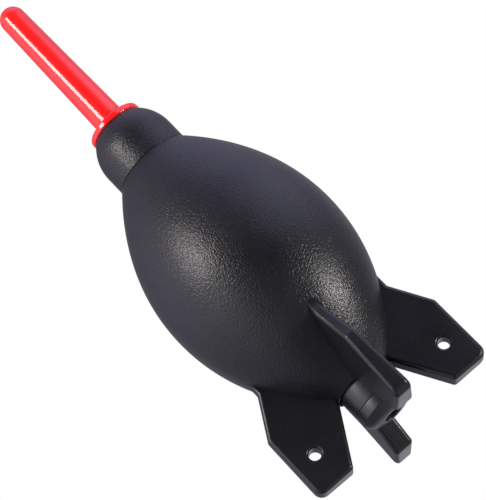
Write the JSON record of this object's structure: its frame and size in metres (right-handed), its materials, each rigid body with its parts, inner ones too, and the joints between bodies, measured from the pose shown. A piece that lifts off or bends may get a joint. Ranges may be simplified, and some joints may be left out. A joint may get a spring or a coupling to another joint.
{
  "type": "dust blower bulb",
  "caption": "Rocket-shaped hand air blower: hollow rubber bulb with tail fins, a tapered push-in nozzle and a one-way inlet valve in the tail.",
  "frame": {"origin": "on the axis, in the plane of the fins' trailing edges, which it stands on", "axes": "+Z along the axis towards the nozzle tip; X through the two side fins with the lanyard holes; -Y through the front fin"},
  "size_m": [0.067, 0.067, 0.1881],
  "materials": {
    "bulb_rubber": "satin, fine leather grain",
    "fin_rubber": "satin, nearly smooth",
    "nozzle_plastic": "polished",
    "valve_plastic": "smooth satin",
    "disc_silicone": "matte"
  },
  "bodies": {
    "bulb": {"bulb_shell": "bulb_rubber", "neck_collar": "bulb_rubber", "fin_right": "fin_rubber", "fin_back": "fin_rubber", "fin_left": "fin_rubber", "fin_front": "fin_rubber", "inlet_valve_body": "valve_plastic", "inlet_valve_cap": "valve_plastic", "inlet_valve_guard": "valve_plastic"},
    "squeeze_wall_front": {"squeeze_wall_front": "bulb_rubber"},
    "squeeze_wall_back": {"squeeze_wall_back": "bulb_rubber"},
    "nozzle": {"nozzle": "nozzle_plastic"},
    "inlet_valve_disc": {"inlet_valve_disc": "disc_silicone"}
  },
  "joints": [
    {"name": "squeeze", "type": "slide", "parent": "bulb", "child": "squeeze_wall_front", "axis": [-0.7071, 0.7071, 0], "range_m": [0, 0.014], "stiffness_N_per_m": 900},
    {"name": "squeeze_back", "type": "slide", "parent": "bulb", "child": "squeeze_wall_back", "axis": [0.7071, -0.7071, 0], "range_m": [0, 0.014], "stiffness_N_per_m": 900},
    {"name": "nozzle_pull", "type": "slide", "parent": "bulb", "child": "nozzle", "axis": [0, 0, 1], "range_m": [0, 0.02]},
    {"name": "inlet_valve_lift", "type": "slide", "parent": "bulb", "child": "inlet_valve_disc", "axis": [0, 0, 1], "range_m": [0, 0.0012]}
  ],
  "couplings": [
    {"joint": "squeeze_back", "follows": "squeeze", "ratio": 1}
  ]
}
